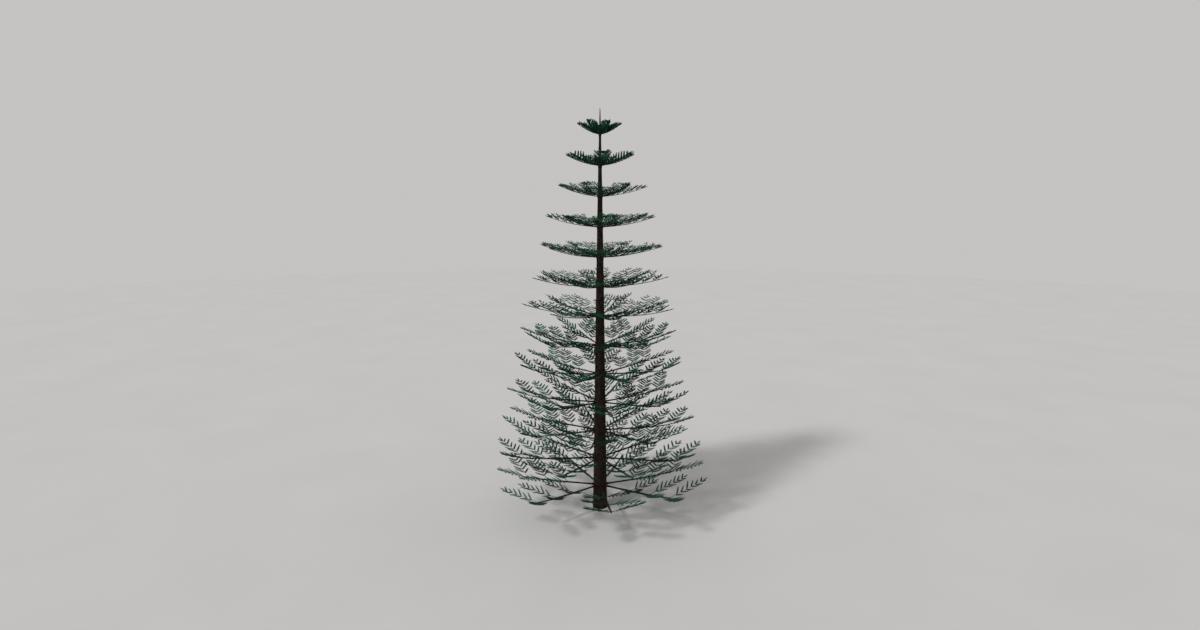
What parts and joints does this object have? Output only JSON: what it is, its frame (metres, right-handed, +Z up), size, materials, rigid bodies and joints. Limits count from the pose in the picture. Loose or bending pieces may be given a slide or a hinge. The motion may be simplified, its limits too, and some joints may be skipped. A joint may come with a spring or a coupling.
{
  "type": "norway spruce tree",
  "caption": "Young Norway spruce with a straight tapering trunk, flat upcurved boughs in clear whorls and paired sprays of dark green needles, rooted in the ground.",
  "frame": {"origin": "middle of the flat cut under the trunk, at ground level", "axes": "+Z up along the trunk to the tip of the leader; -Y faces the picture's camera and +X is to its right"},
  "size_m": [4.2003, 4.1778, 8],
  "materials": {
    "trunk_bark": "rough, scaly, dark grey-brown bark",
    "limb_bark": "matt brown bark with leaf pegs",
    "needles": "dark green needles, faintly glossy"
  },
  "bodies": {
    "root": {"tier_1_foliage_1": "needles", "tier_1_foliage_2": "needles", "tier_1_foliage_3": "needles", "tier_1_foliage_4": "needles", "tier_1_foliage_5": "needles", "tier_1_foliage_6": "needles", "tier_1_foliage_7": "needles", "tier_1_limb_1": "limb_bark", "tier_1_limb_2": "limb_bark", "tier_1_limb_3": "limb_bark", "tier_1_limb_4": "limb_bark", "tier_1_limb_5": "limb_bark", "tier_1_limb_6": "limb_bark", "tier_1_limb_7": "limb_bark", "tier_2_foliage_1": "needles", "tier_2_foliage_2": "needles", "tier_2_foliage_3": "needles", "tier_2_foliage_4": "needles", "tier_2_foliage_5": "needles", "tier_2_foliage_6": "needles", "tier_2_foliage_7": "needles", "tier_2_limb_1": "limb_bark", "tier_2_limb_2": "limb_bark", "tier_2_limb_3": "limb_bark", "tier_2_limb_4": "limb_bark", "tier_2_limb_5": "limb_bark", "tier_2_limb_6": "limb_bark", "tier_2_limb_7": "limb_bark", "tier_3_foliage_1": "needles", "tier_3_foliage_2": "needles", "tier_3_foliage_3": "needles", "tier_3_foliage_4": "needles", "tier_3_foliage_5": "needles", "tier_3_foliage_6": "needles", "tier_3_foliage_7": "needles", "tier_3_limb_1": "limb_bark", "tier_3_limb_2": "limb_bark", "tier_3_limb_3": "limb_bark", "tier_3_limb_4": "limb_bark", "tier_3_limb_5": "limb_bark", "tier_3_limb_6": "limb_bark", "tier_3_limb_7": "limb_bark", "tier_4_bough_1": "needles", "tier_4_bough_2": "needles", "tier_4_bough_3": "needles", "tier_4_bough_4": "needles", "tier_4_bough_5": "needles", "tier_4_bough_6": "needles", "tier_4_bough_7": "needles", "tier_5_whorl": "needles", "tier_6_whorl": "needles", "tier_7_whorl": "needles", "tier_8_whorl": "needles", "tier_9_whorl": "needles", "tier_10_whorl": "needles", "tier_11_whorl": "needles", "tier_12_whorl": "needles", "tier_13_whorl": "needles", "trunk": "trunk_bark"}
  },
  "joints": []
}
